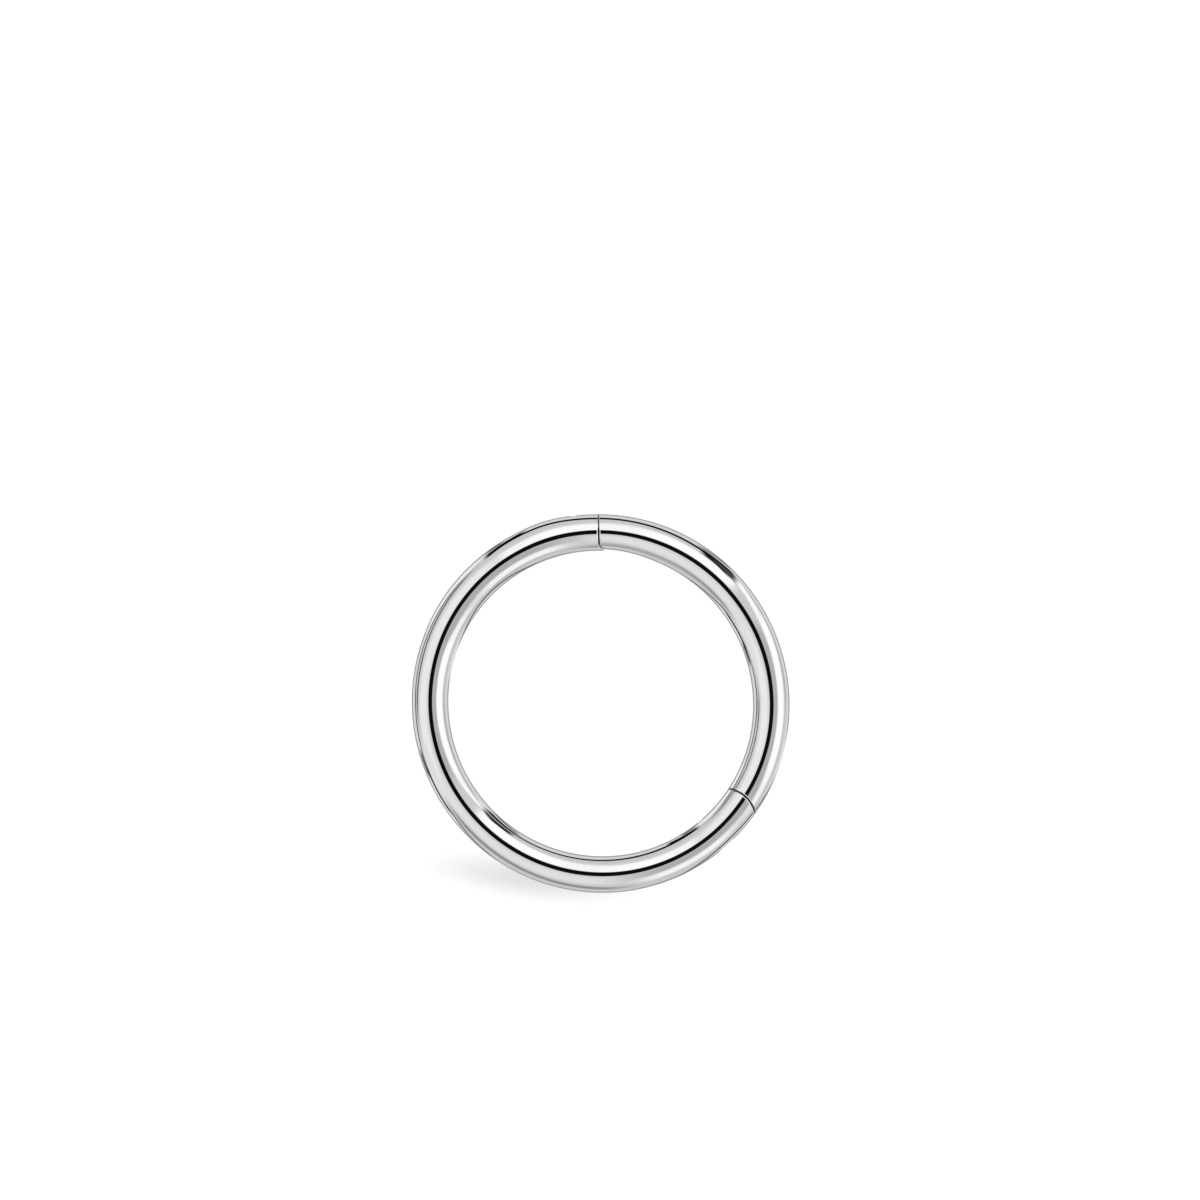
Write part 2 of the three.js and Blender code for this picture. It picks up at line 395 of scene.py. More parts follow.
class Grower:
    """The geometry tree of one piece: its named sizes, and the steps that the three pieces share."""

    cap_rows = 2
    round_rows = 7
    shaded_rows = 4  # of the round rows, those deep in the seam, which get the near-black painted shade
    flank = 0.5  # the share of the wire's radius over which an edge turns from whole to dressed
    inner_half = -1e-6  # so little that the smooth step down to it is a plain one
    ring_grid = {"Size X": 1.0, "Size Y": 1.0, "Vertices X": 481, "Vertices Y": 65}
    reach = 8 * MM  # cutters run past the wire on every side
    sharp = 1e-4 * MM  # the corner of a block that isn't rounded
    weld = 1e-5 * MM
    crease = math.radians(18)
    cut_mark = "filed"  # 0 on the polished wire, 1 where a saw or a file has cut, 2 deep in a seam's edges, where a near-black painted shade stands for the light trapped there

    def __init__(self, name: str, shapes: Shapes) -> None:
        """Starts the tree.

        Args:
            name: The tree's name.
            shapes: The shared groups.
        """
        self.shapes = shapes
        self.w = Shapes.group(name)
        self.values: dict[str, float | int] = {}

    def size(self, name: str, value: float | int) -> Number:
        """Adds a named size or count to the tree."""
        self.values[name] = value
        return self.w.given(name, value, "NodeSocketInt" if isinstance(value, int) else "NodeSocketFloat")

    def wire_sizes(self, wire: Wire) -> None:
        """Adds the wire's sizes to the tree.

        Args:
            wire: The wire.
        """
        self.radius = self.size("Wire Radius", wire.radius)
        self.hoop = self.size("Hoop Radius", wire.hoop)
        self.rounding = self.size("Edge Rounding", wire.rounding)
        self.edge_tilt = self.size("Edge Tilt", wire.edge_tilt)
        self.sides = self.size("Sides", wire.sides)
        bend = (wire.ovality, wire.oval_angle, wire.narrowing)
        hand = zip(Shapes.hand_inputs, (*bend, wire.swell, wire.swell_angle, wire.swell_reach))
        self.hand = {name: self.size(name, value) for name, value in hand}

    def hinge_sizes(self, hinge: Hinge) -> None:
        """Adds the hinge's sizes to the tree.

        Args:
            hinge: The hinge.
        """
        self.hinge_angle = self.size("Hinge Angle", hinge.angle)
        self.pin_out = self.hoop - self.size("Pin Inset", hinge.inset)
        self.tongue = self.size("Tongue Thickness", hinge.tongue)
        self.slot = self.size("Slot Width", hinge.slot)
        self.pin_radius = self.size("Pin Radius", hinge.pin_radius)

    def clasp_sizes(self, clasp: Clasp) -> None:
        """Adds the clasp's sizes to the tree.

        Args:
            clasp: The clasp.
        """
        self.clasp_angle = self.size("Clasp Angle", clasp.angle)
        self.clasp_half_gap = self.size("Clasp Half Gap", clasp.gap / 2)
        self.tip_corner = self.size("Tip Corner", clasp.corner)
        self.tip_top = self.hoop - self.radius + self.size("Tip Relief", clasp.relief) + self.tip_corner

    def hinge_seam(self, out: Number, knuckle: Number) -> Number:
        """The angle of the rounded hinge seam.

        Args:
            out: The distance from the hoop's axis.
            knuckle: The seam's radius round the pin.

        Returns:
            The angle round the hoop, in radians.
        """
        squares = out * out + self.pin_out * self.pin_out - knuckle * knuckle
        return self.hinge_angle + self.w.math("ARCCOSINE", squares / (out * self.pin_out * 2.0))

    def clasp_seam(self, out: Number, corner: Number, depth: Number) -> Number:
        """The angle of the clasp seam: straight outside, and a quarter round towards the hoop's inside.

        Args:
            out: The distance from the hoop's axis.
            corner: The radius of the tip's own round, or of the lip's, which is larger by the gap.
            depth: How far inwards the round is followed.

        Returns:
            The angle round the hoop, in radians.
        """
        below = (self.tip_top - out).clamped(0, depth)
        round_off = (corner * corner - below * below).clamped(0, 1).root()
        back = self.clasp_half_gap + self.tip_corner - round_off
        return self.clasp_angle - self.w.math("ARCSINE", back / out)

    def wire_body(
        self, rows: int, start: "SeamEnd", end: "SeamEnd", thinning: "Thinning | None" = None
    ) -> Socket:
        """A length of round wire between two seams, closed, its edges rounded at both ends.

        Args:
            rows: The steps along the wire between the rounded edges.
            start: The seam that it starts at.
            end: The seam that it ends at.
            thinning: How the wire's inner side is thinned towards its end.

        Returns:
            The geometry socket.
        """
        w = self.w
        edge_rows = self.cap_rows + self.round_rows
        steps = self.size("Steps", rows) + 2.0 * edge_rows
        extent = {"Size X": 1.0, "Size Y": 1.0, "Vertices X": steps + 1.0, "Vertices Y": self.sides + 1.0}
        grid = w.node("GeometryNodeMeshGrid", extent)
        across, round_share, _ = w.parts(grid.outputs["UV Map"])
        row = w.math("ROUND", across * steps)
        from_end = steps - row
        turn = round_share * (2 * math.pi)
        side, height = turn.cos(), turn.sin()
        inward, outward = (side * -1.0).clamped(0, 1), side.eased(0.0, self.flank)
        cap, back, drop = [], [], []
        first_sine, first_cosine = self.edge_tilt.sin(), self.edge_tilt.cos()
        for distance, seam in ((row, start), (from_end, end)):
            cap.append((1.0 - distance / self.cap_rows).clamped(0, 1))
            turned = ((edge_rows - distance) / self.round_rows).clamped(0, 1)
            tilt = w.blend(self.edge_tilt, math.pi / 2, turned)
            kept = (1.0 - inward * inward * (1.0 - seam.thin)) * (1.0 - outward * (1.0 - seam.outer))
            edge = self.rounding * kept / (1.0 - first_sine)
            back.append(edge * (1.0 - tilt.sin()))
            drop.append(edge * (first_cosine - tilt.cos()))
        along = ((row - edge_rows) / (steps - 2.0 * edge_rows)).clamped(0, 1)
        reach = self.radius - drop[0] - drop[1]
        out_reach = reach
        if thinning is not None:
            thinned = thinning.depth * along.eased(thinning.starts, 1.0)
            out_reach = reach - thinned * side.eased(0.0, self.inner_half)
        out = self.hoop + out_reach * side
        first = start.angle(out) + back[0] / out
        last = end.angle(out) - back[1] / out
        angle = w.blend(first, last, along)
        z = reach * height * (1.0 - cap[0]) * (1.0 - cap[1])
        depth = w.math("MINIMUM", across, 1.0 - across) * steps
        end_face = w.math("LESS_THAN", depth, self.cap_rows)
        groove = w.math("LESS_THAN", depth, self.cap_rows + self.shaded_rows)
        return self.skin(grid, out, angle, z, groove * 2.0 - end_face)

    def full_ring(self, shrink: float) -> Socket:
        """A whole ring of the wire, a hair thinner than the wire itself.

        Args:
            shrink: How much smaller its radius is than the wire's.

        Returns:
            The geometry socket.
        """
        w = self.w
        ring = w.node("GeometryNodeMeshGrid", self.ring_grid)
        round_hoop, round_wire, _ = w.parts(ring.outputs["UV Map"])
        angle, turn = round_hoop * (2 * math.pi), round_wire * (2 * math.pi)
        reach = self.radius - shrink
        return self.skin(ring, self.hoop + reach * turn.cos(), angle, reach * turn.sin(), 1.0)

    def skin(self, grid: bpy.types.Node, out: Number, angle: Number, z: Number, share: Value) -> Socket:
        """Wraps a grid round the hoop's axis, and welds it where it meets itself.

        Args:
            grid: The grid's node.
            out: Each point's distance from the axis.
            angle: Its angle round the axis.
            z: Its height.
            share: The faces' mark, as cut_mark lists them.

        Returns:
            The geometry socket.
        """
        w = self.w
        place = w.vector(out * angle.cos(), out * angle.sin(), z)
        marked = self.mark(w.placed(grid.outputs["Mesh"], place), share)
        return w.node("GeometryNodeMergeByDistance", {"Geometry": marked, "Distance": self.weld}).outputs[0]

    def sector(
        self, inner: Value, outer: Value, start: Value, end: Value, thickness: Value, corner: Value = sharp
    ) -> Socket:
        """A flat block between two radii and two angles, marked as filed.

        Args:
            inner: The inner radius.
            outer: The outer radius.
            start: The angle that it starts at.
            end: The angle that it ends at.
            thickness: Its thickness.
            corner: The radius of its far end's corners.

        Returns:
            The geometry socket.
        """
        inputs = dict(zip(Shapes.block_inputs, (inner, outer, start, end, thickness, corner)))
        made = self.w.node("GeometryNodeGroup", inputs, node_tree=self.shapes.sector)
        return self.mark(made.outputs[0], 1.0)

    def hinge_bar(self, radius: Value, low: Value, high: Value, sides: int) -> Socket:
        """A round bar on the hinge's axis, marked as filed.

        Args:
            radius: Its radius.
            low: The height of its lower end, from the wire's middle.
            high: The height of its upper end.
            sides: Its sides.

        Returns:
            The geometry socket.
        """
        w = self.w
        depth = w.math("SUBTRACT", high, low)
        bar = w.node("GeometryNodeMeshCylinder", {"Vertices": sides, "Radius": radius, "Depth": depth})
        centre = w.vector(
            self.pin_out * self.hinge_angle.cos(),
            self.pin_out * self.hinge_angle.sin(),
            w.math("ADD", high, low) * 0.5,
        )
        moved = w.node("GeometryNodeTransform", {"Geometry": bar.outputs["Mesh"], "Translation": centre})
        return self.mark(moved.outputs[0], 1.0)

    def mark(self, geometry: Socket, share: Value) -> Socket:
        """Writes how the faces were cut.

        Args:
            geometry: The geometry socket.
            share: The mark, as cut_mark lists them.

        Returns:
            The geometry socket.
        """
        inputs = {"Geometry": geometry, "Name": self.cut_mark, "Value": share}
        kind = {"data_type": "FLOAT", "domain": "FACE"}
        return self.w.node("GeometryNodeStoreNamedAttribute", inputs, **kind).outputs[0]

    def combine(self, operation: str, *bodies: Socket) -> Socket:
        """Joins, cuts or intersects closed bodies.

        Args:
            operation: UNION, DIFFERENCE or INTERSECT.
            *bodies: The geometry sockets. For DIFFERENCE the first is what is cut.

        Returns:
            The geometry socket.
        """
        made = self.w.node("GeometryNodeMeshBoolean", operation=operation, solver="MANIFOLD")
        rest = bodies
        if operation == "DIFFERENCE":
            self.w.feed(made.inputs["Mesh 1"], bodies[0])
            rest = bodies[1:]
        for body in reversed(rest):
            self.w.feed(made.inputs["Mesh 2"], body)
        return made.outputs["Mesh"]

    def grow(self, geometry: Socket, *finishes: bpy.types.Material) -> Mesh:
        """Bends and dresses the geometry, then makes it a plain mesh.

        Args:
            geometry: The piece's geometry socket.
            *finishes: The materials of the polished wire, of the filed faces and of the near-black painted
                       shade in the seams' deep edges.
                A piece without deep edges, or without filed faces, leaves them out.

        Returns:
            The mesh.
        """
        w = self.w
        bend = {"Geometry": geometry, "Lift": self.radius, "Hoop Radius": self.hoop, **self.hand}
        bent = w.node("GeometryNodeGroup", bend, node_tree=self.shapes.bent)
        faces = w.node("GeometryNodeSetShadeSmooth", {"Geometry": bent.outputs[0], "Shade Smooth": True})
        angle = Number(w, w.node("GeometryNodeInputMeshEdgeAngle").outputs["Unsigned Angle"])
        creased = w.node(
            "GeometryNodeSetShadeSmooth",
            {"Geometry": faces.outputs[0], "Selection": angle.above(self.crease), "Shade Smooth": False},
            domain="EDGE",
        )
        marked = w.node("GeometryNodeInputNamedAttribute", {"Name": self.cut_mark}, data_type="FLOAT")
        dressed = w.node("GeometryNodeRealizeInstances", {"Geometry": creased.outputs[0]})
        for step, finish in enumerate(finishes):
            chosen = Number(w, marked.outputs["Attribute"]).above(step - 0.5)
            inputs = {"Geometry": dressed.outputs[0], "Selection": chosen, "Material": finish}
            dressed = w.node("GeometryNodeSetMaterial", inputs)
        w.gives(Geometry=dressed.outputs[0])
        return self._plain_mesh()

    def _plain_mesh(self) -> Mesh:
        """Runs the tree on an empty object and keeps its result as a plain mesh.

        Returns:
            The mesh.
        """
        name = self.w.tree.name
        holder = bpy.data.objects.new(name, bpy.data.meshes.new(name))
        bpy.context.scene.collection.objects.link(holder)
        modifier = holder.modifiers.new(name, "NODES")
        modifier.node_group = self.w.tree
        for item in self.w.tree.interface.items_tree:
            if item.item_type == "SOCKET" and item.in_out == "INPUT" and item.name in self.values:
                modifier[item.identifier] = self.values[item.name]
        graph = bpy.context.evaluated_depsgraph_get()
        mesh = bpy.data.meshes.new_from_object(holder.evaluated_get(graph), depsgraph=graph)
        holder.modifiers.remove(modifier)
        bpy.data.objects.remove(holder)
        return mesh


@dataclass(frozen=True)
class SeamEnd:
    """One end of a length of wire: its seam's angle, by distance from the axis, and its broken edge."""

    angle: Callable[[Number], Number]
    thin: float = 1.0  # the share of the edge rounding kept on the hoop's inside
    outer: float = 1.0  # and on its outside


@dataclass(frozen=True)
class Thinning:
    """How the inner side of a length of wire is thinned towards its end."""

    depth: Number
    starts: float


# ---- finishes ----


def empty_material(name: str) -> tuple[bpy.types.Material, Wiring]:
    """Starts a material.

    Args:
        name: Its name.

    Returns:
        The material, and the wiring of its empty tree.
    """
    material = bpy.data.materials.new(name)
    material.use_nodes = True
    material.node_tree.nodes.clear()
    return material, Wiring(material.node_tree)


@dataclass(frozen=True)
class HandPolish:
    """The marks of polishing on all the metal: a faint haze in drifts, and lengthwise hairlines."""

    inputs = ("Roughness", "Haze", "Haze Scale", "Hairlines", "Hairline Scale", "Tone", "Tone Drift")
    name: str = "hand_polish"
    drift_detail: float = 3.0
    drift_levels: tuple[float, float] = (0.35, 0.75)  # of the noise, where a drift starts and is full
    hair_detail: float = 2.0
    hair_levels: tuple[float, float] = (0.45, 0.8)  # and the same for a hairline
    hair_stretch: float = 0.12 * MM  # the distance that a radian round the hoop counts as in the noise
    coolness: float = 1.004  # how much more blue the metal reflects than red and green
    smoothest: float = 0.01  # the least roughness

    def build(self) -> bpy.types.NodeTree:
        """Builds the shader group.

        Returns:
            The group, with the outputs Tone, Roughness and Height.
        """
        w = Wiring(bpy.data.node_groups.new(self.name, "ShaderNodeTree"))
        roughness, haze, haze_scale, hair, hair_scale, tone, tone_drift = (w.given(n) for n in self.inputs)
        where = w.node("ShaderNodeTexCoord").outputs["Object"]
        x, y, z = w.parts(where)
        out = (x * x + y * y).root()
        angle = w.math("ARCTAN2", y, x)
        lengthwise = w.vector(out, angle * self.hair_stretch, z)
        drift = self._noise(w, where, haze_scale, self.drift_detail).eased(*self.drift_levels)
        lines = self._noise(w, lengthwise, hair_scale, self.hair_detail).eased(*self.hair_levels)
        shade = tone - tone_drift * drift
        channels = {"Red": shade, "Green": shade, "Blue": shade * self.coolness}
        colour = w.node("ShaderNodeCombineColor", channels)
        rough = (roughness + haze * drift + hair * lines).clamped(self.smoothest, 1.0)
        w.gives(Tone=colour.outputs[0], Roughness=rough, Height=lines)
        return w.tree

    @staticmethod
    def _noise(w: Wiring, where: Socket, scale: Number, detail: float) -> Number:
        """Adds one noise texture, read at a place."""
        made = w.node("ShaderNodeTexNoise", {"Vector": where, "Scale": scale, "Detail": detail})
        return Number(w, made.outputs["Fac"])


@dataclass(frozen=True)
class Metal:
    """One finish of the silver."""

    name: str
    tone: float
    tone_drift: float
    roughness: float
    haze: float
    haze_scale: float
    hairlines: float
    hairline_scale: float
    line_depth: float  # of the hairlines, in metres
    edge_tone: float = 1.0  # the tint of what it reflects at a glancing angle

    def build(self, polish: bpy.types.NodeTree) -> bpy.types.Material:
        """Builds the material.

        Args:
            polish: The shared group of polishing marks.

        Returns:
            The material.
        """
        material, w = empty_material(self.name)
        polished = (self.roughness, self.haze, self.haze_scale, self.hairlines, self.hairline_scale)
        values = dict(zip(HandPolish.inputs, (*polished, self.tone, self.tone_drift)))
        marks = w.node("ShaderNodeGroup", values, node_tree=polish)
        relief = {"Height": marks.outputs["Height"], "Strength": 1.0, "Distance": self.line_depth}
        bump = w.node("ShaderNodeBump", relief)
        shader = w.node(
            "ShaderNodeBsdfPrincipled",
            {
                "Base Color": marks.outputs["Tone"],
                "Roughness": marks.outputs["Roughness"],
                "Metallic": 1.0,
                "Specular Tint": (*[self.edge_tone] * 3, 1.0),
                "Normal": bump.outputs["Normal"],
            },
        )
        w.node("ShaderNodeOutputMaterial", {"Surface": shader.outputs["BSDF"]})
        return material


Dressing: TypeAlias = dict[Slot, list[bpy.types.Material]]


@dataclass(frozen=True)
class Finishes:
    """The finishes of the silver, their numbers in Metal's order."""

    polished: Metal = Metal("polished_silver", 0.95, 0.01, 0.025, 0.01, 700.0, 0.01, 26000.0, 2e-8)
    filed: Metal = Metal("filed_silver", 0.72, 0.12, 0.26, 0.1, 2600.0, 0.14, 40000.0, 4e-7)
    # the seam finish is a near-black painted shade in the seams' deep edges, standing for the light trapped
    # there and for their tarnish
    seam: Metal = Metal("painted_seam_shade", 0.02, 0.05, 0.42, 0.1, 2600.0, 0.14, 40000.0, 4e-7, 0.05)
    pin: Metal = Metal("pin_silver", 0.84, 0.05, 0.16, 0.06, 3000.0, 0.08, 36000.0, 1.5e-7)

    def build(self) -> Dressing:
        """Builds the materials.

        Returns:
            Each slot's materials, in the order of the marks that its faces carry.
        """
        polish = HandPolish().build()
        slots = {Slot.POLISHED: (self.polished, self.filed, self.seam), Slot.PIN: (self.pin,)}
        return {slot: [metal.build(polish) for metal in metals] for slot, metals in slots.items()}


# ---- the pieces ----


@dataclass
class HoopPiece:
    """What each piece of the hoop is made from, and the steps that the pieces share."""

    wire: Wire
    clasp: Clasp
    hinge: Hinge
    shapes: Shapes
    finishes: Dressing

    def start(self, name: str) -> Grower:
        """Starts the piece's tree, with the sizes of the wire and the hinge.

        Args:
            name: The tree's name.

        Returns:
            The tree.
        """
        g = Grower(name, self.shapes)
        g.wire_sizes(self.wire)
        g.hinge_sizes(self.hinge)
        return g

    def place(self, name: str, g: Grower, geometry: Socket, body: Body, node: str, slot: Slot) -> Piece:
        """Grows the piece and puts it into the frame.

        Args:
            name: The piece's name.
            g: Its tree.
            geometry: Its geometry.
            body: The body it rides on.
            node: The node of the frame that it stands for.
            slot: The record's material slot.

        Returns:
            The piece.
        """
        mesh = g.grow(geometry, *self.finishes[slot])
        mesh.name = name
        piece = bpy.data.objects.new(name, mesh)
        bpy.context.scene.collection.objects.link(piece)
        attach(piece, body.value)
        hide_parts(node)
        LOG.info("%s: %d faces, rides on %s", name, len(mesh.polygons), body.value)
        return piece


@dataclass
class FixedArc(HoopPiece):
    """The hoop's long arc: a lip and a slot at the clasp, and a fork with rounded cheeks at the hinge."""

    steps: int = 400
    hinge_overrun: float = 0.35  # radians that the hinge slot's cutter runs past the seam
    clasp_overrun: float = 0.09  # and the clasp slot's

    def build(self) -> Piece:
        """Builds the arc.

        Returns:
            The piece.
        """
        g = self.start("fixed_arc_wire")
        g.clasp_sizes(self.clasp)
        cheek = g.size("Cheek Radius", self.hinge.knuckle - self.hinge.gap / 2)
        lip_round = g.tip_corner + g.clasp_half_gap * 2.0
        lip_depth = g.tip_top - g.hoop + g.radius - g.size("Lip Edge", self.clasp.lip_edge)
        body = g.wire_body(
            self.steps,
            SeamEnd(
                lambda out: g.clasp_seam(out, lip_round, lip_depth),
                self.clasp.lip_rounding,
                self.clasp.outer_rounding,
            ),
            SeamEnd(lambda out: g.hinge_seam(out, cheek) + 2 * math.pi),
        )
        return self.place("fixed_arc", g, self._cut(g, body), Body.HOOP, "hoop_arc", Slot.POLISHED)

    def _cut(self, g: Grower, body: Socket) -> Socket:
        """Saws both slots and drills the pin's hole.

        Args:
            g: The piece's tree.
            body: The wire's geometry.

        Returns:
            The arc's geometry.
        """
        slot_back = g.hinge_angle - g.size("Slot Back", self.hinge.slot_back) / g.hoop
        hinge_slot = g.sector(g.reach / 2, g.reach, slot_back, g.hinge_angle + self.hinge_overrun, g.slot)
        tab_reach = self.clasp.tab_length + self.clasp.tab_end_gap
        slot_end = g.clasp_angle + (g.size("Tab Slot", tab_reach) + g.clasp_half_gap) / g.hoop
        slot_floor = g.hoop - g.radius + g.size("Slot Floor", self.clasp.floor)
        clasp_slot = g.sector(slot_floor, g.reach, g.clasp_angle - self.clasp_overrun, slot_end, g.slot)
        depth = g.slot * 0.5 + g.size("Pin Depth", self.hinge.pin_depth + self.hinge.clearance)
        hole_radius = g.pin_radius + g.size("Press Gap", self.hinge.press_gap)
        hole = g.hinge_bar(hole_radius, g.radius * -2.0, depth, self.hinge.sides)
        return g.combine("DIFFERENCE", body, hinge_slot, clasp_slot, hole)


@dataclass
class SwingingSegment(HoopPiece):
    """The shorter arc that swings out: a tongue at the hinge, a rounded tip and a flat tab at the clasp."""

    steps: int = 224
    shrink: float = 0.004 * MM  # the tongue and the tab lie a hair below the wire's surface

    def build(self) -> Piece:
        """Builds the segment.

        Returns:
            The piece.
        """
        g = self.start("swinging_segment_wire")
        g.clasp_sizes(self.clasp)
        shoulder = g.size("Shoulder Radius", self.hinge.knuckle + self.hinge.gap / 2)
        span = self.clasp.angle - self.hinge.angle - self.hinge.knuckle / self.wire.hoop
        body = g.wire_body(
            self.steps,
            SeamEnd(lambda out: g.hinge_seam(out, shoulder)),
            SeamEnd(
                lambda out: g.clasp_seam(out, g.tip_corner, g.tip_corner),
                outer=self.clasp.outer_rounding,
            ),
            Thinning(g.size("Thinning", self.clasp.relief), 1 - self.clasp.relief_reach / span),
        )
        fitted = self._fit(g, body)
        return self.place("swinging_segment", g, fitted, Body.SEGMENT, "hinged_segment", Slot.POLISHED)

    def _fit(self, g: Grower, body: Socket) -> Socket:
        """Adds the tongue and the tab, and drills the tongue.

        Args:
            g: The piece's tree.
            body: The wire's geometry.

        Returns:
            The segment's geometry.
        """
        tongue_span = g.size("Tongue Span", self.hinge.knuckle + self.hinge.tongue_root) / g.hoop
        neck = g.sector(g.reach / 2, g.reach, g.hinge_angle, g.hinge_angle + tongue_span, g.tongue)
        half = g.tongue * 0.5
        tongue_end = g.size("Tongue End", self.hinge.tongue_end)
        nose = g.hinge_bar(tongue_end, half * -1.0, half, 2 * self.hinge.sides)
        tab_inner = g.hoop - g.radius + g.size("Tab Floor", self.clasp.floor + self.hinge.clearance)
        tab_start = g.clasp_angle - (g.clasp_half_gap + g.size("Tab Root", self.clasp.tab_root)) / g.hoop
        tab_end = g.clasp_angle + (g.clasp_half_gap + g.size("Tab Length", self.clasp.tab_length)) / g.hoop
        corner = g.size("Tab Corner", self.clasp.tab_corner)
        tab = g.sector(tab_inner, g.hoop + g.radius, tab_start, tab_end, g.tongue, corner)
        plates = g.combine("UNION", neck, nose, tab)
        inserts = g.combine("INTERSECT", g.full_ring(self.shrink), plates)
        whole = g.combine("UNION", body, inserts)
        hole_radius = g.pin_radius + g.size("Turn Gap", self.hinge.turn_gap)
        hole = g.hinge_bar(hole_radius, g.radius * -2.0, g.radius * 2.0, self.hinge.sides)
        return g.combine("DIFFERENCE", whole, hole)


@dataclass
class FlushPin(HoopPiece):
    """The hinge's pin, its lower end dressed flush with the wire."""

    shrink: float = 0.001 * MM

    def build(self) -> Piece:
        """Builds the pin.

        Returns:
            The piece.
        """
        g = self.start("flush_pin_bar")
        top = g.slot * 0.5 + g.size("Pin Depth", self.hinge.pin_depth)
        bar = g.hinge_bar(g.pin_radius, g.radius * -2.0, top, self.hinge.sides)
        pin = g.combine("INTERSECT", g.full_ring(self.shrink), bar)
        return self.place("flush_pin", g, pin, Body.HOOP, "hinge_pin", Slot.PIN)


# ---- the studio ----


@dataclass(frozen=True)
class Panel:
    """A soft-edged patch of the studio that the metal mirrors, placed by its angles in degrees."""

    inputs = (
        *("Behind", "Compass", "Polar", "Middle", "Half Span", "Top", "Bottom", "Level"),
        *("Side Blur", "Edge Blur", "Slant", "Bow"),
    )
    name: str
    middle: float  # anticlockwise from +X
    span: float
    top: float  # from overhead
    bottom: float
    level: float  # brightness
    side_blur: float = 5.0
    edge_blur: float = 5.0
    slant: float = 0.0  # down for each degree round
    bow: float = 0.0  # down at each side of the span

    def values(self) -> tuple[float, ...]:
        """The panel's own numbers, in the order of the last inputs."""
        place = (self.middle, self.span / 2, self.top, self.bottom)
        return (*place, self.level, self.side_blur, self.edge_blur, self.slant, self.bow)


